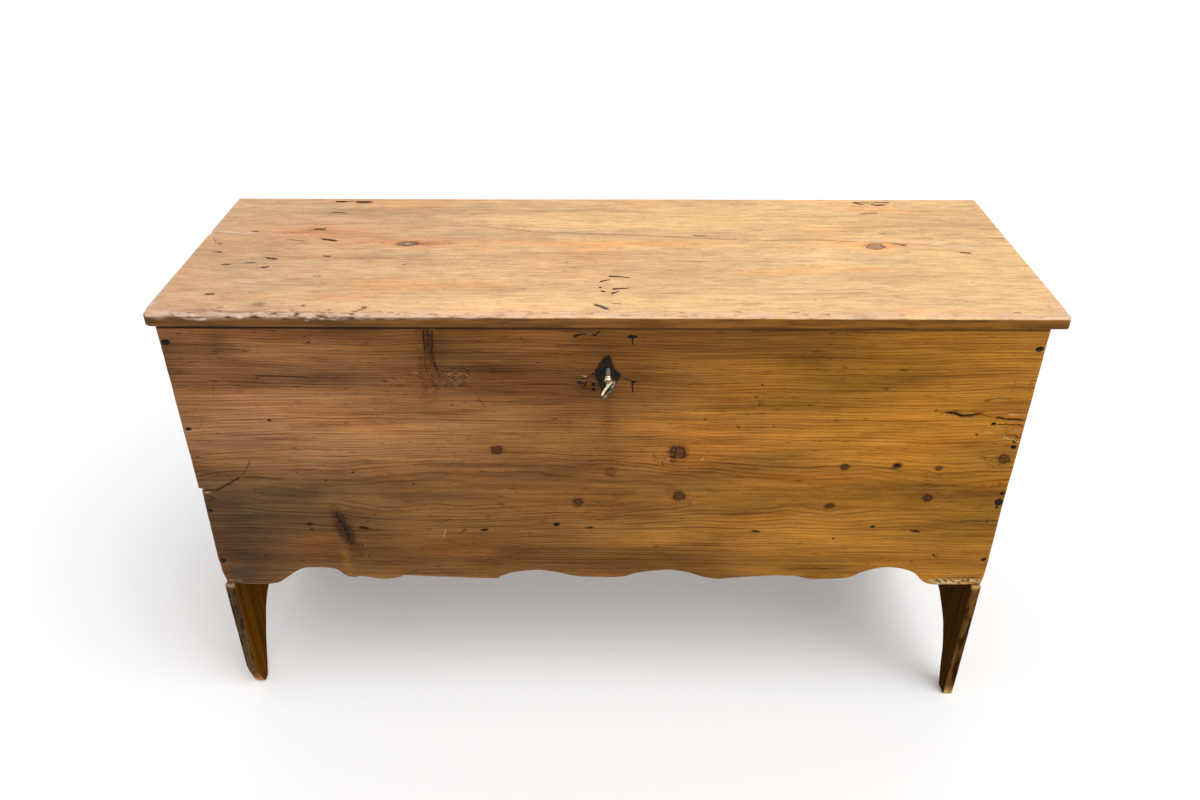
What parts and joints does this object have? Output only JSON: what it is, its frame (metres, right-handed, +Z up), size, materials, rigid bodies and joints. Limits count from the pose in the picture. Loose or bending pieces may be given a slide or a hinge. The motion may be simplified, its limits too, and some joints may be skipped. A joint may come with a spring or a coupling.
{
  "type": "blanket chest",
  "caption": "Old nailed pine blanket chest on bootjack feet, with a shaped apron, a lid on wire snipe hinges and an iron lock with its key.",
  "frame": {"origin": "on the floor, under the middle of the chest's whole box", "axes": "+X to the right along the front, +Y from the front to the back, +Z up"},
  "size_m": [1.3, 0.5022, 0.7764],
  "materials": {
    "front_pine": "old waxed pine, worn at the edges",
    "lid_pine": "old pine, rubbed pale",
    "inner_pine": "unfinished pine, darkened by age",
    "wrought_iron": "dark forged iron",
    "key_metal": "bright where handled"
  },
  "bodies": {
    "carcass": {"front_board": "front_pine", "back_board": "inner_pine", "left_end_board": "front_pine", "right_end_board": "front_pine", "bottom_board": "inner_pine", "left_back_cotter": "wrought_iron", "right_back_cotter": "wrought_iron", "lock_case": "wrought_iron", "lock_spring": "wrought_iron", "escutcheon": "wrought_iron", "front_left_nail_1": "wrought_iron", "front_left_nail_2": "wrought_iron", "front_left_nail_3": "wrought_iron", "front_left_nail_4": "wrought_iron", "front_right_nail_1": "wrought_iron", "front_right_nail_2": "wrought_iron", "front_right_nail_3": "wrought_iron", "front_right_nail_4": "wrought_iron", "front_bottom_nail_1": "wrought_iron", "front_bottom_nail_2": "wrought_iron", "front_bottom_nail_3": "wrought_iron", "front_bottom_nail_4": "wrought_iron", "front_bottom_nail_5": "wrought_iron", "front_bottom_nail_6": "wrought_iron", "front_bottom_nail_7": "wrought_iron", "front_bottom_nail_8": "wrought_iron", "back_left_nail_1": "wrought_iron", "back_left_nail_2": "wrought_iron", "back_left_nail_3": "wrought_iron", "back_left_nail_4": "wrought_iron", "back_right_nail_1": "wrought_iron", "back_right_nail_2": "wrought_iron", "back_right_nail_3": "wrought_iron", "back_right_nail_4": "wrought_iron", "back_bottom_nail_1": "wrought_iron", "back_bottom_nail_2": "wrought_iron", "back_bottom_nail_3": "wrought_iron", "back_bottom_nail_4": "wrought_iron", "lock_nail_1": "wrought_iron", "lock_nail_2": "wrought_iron", "lock_nail_3": "wrought_iron", "lock_nail_4": "wrought_iron", "escutcheon_pin_1": "wrought_iron", "escutcheon_pin_2": "wrought_iron", "escutcheon_pin_3": "wrought_iron", "escutcheon_pin_4": "wrought_iron"},
    "lid": {"lid": "lid_pine", "left_lid_cotter": "wrought_iron", "right_lid_cotter": "wrought_iron", "hasp": "wrought_iron", "hasp_nail_1": "wrought_iron", "hasp_nail_2": "wrought_iron", "hasp_nail_3": "wrought_iron", "hasp_nail_4": "wrought_iron", "hasp_nail_5": "wrought_iron", "hasp_nail_6": "wrought_iron"},
    "key": {"key": "key_metal"},
    "bolt": {"lock_bolt": "wrought_iron"}
  },
  "joints": [
    {"name": "lid_hinge", "type": "hinge", "parent": "carcass", "child": "lid", "pos_m": [0, 0.23642, 0.74345], "axis": [-1, 0, 0], "range_deg": [0, 145]},
    {"name": "key_turn", "type": "hinge", "parent": "carcass", "child": "key", "pos_m": [0.0055, -0.18193, 0.6815], "axis": [0, -1, 0], "range_deg": [0, 76]},
    {"name": "bolt_slide", "type": "slide", "parent": "carcass", "child": "bolt", "axis": [-1, 0, 0], "range_m": [0, 0.012]}
  ],
  "couplings": [
    {"joint": "key_turn", "follows": "bolt_slide", "rad_per_m": 104.72}
  ]
}
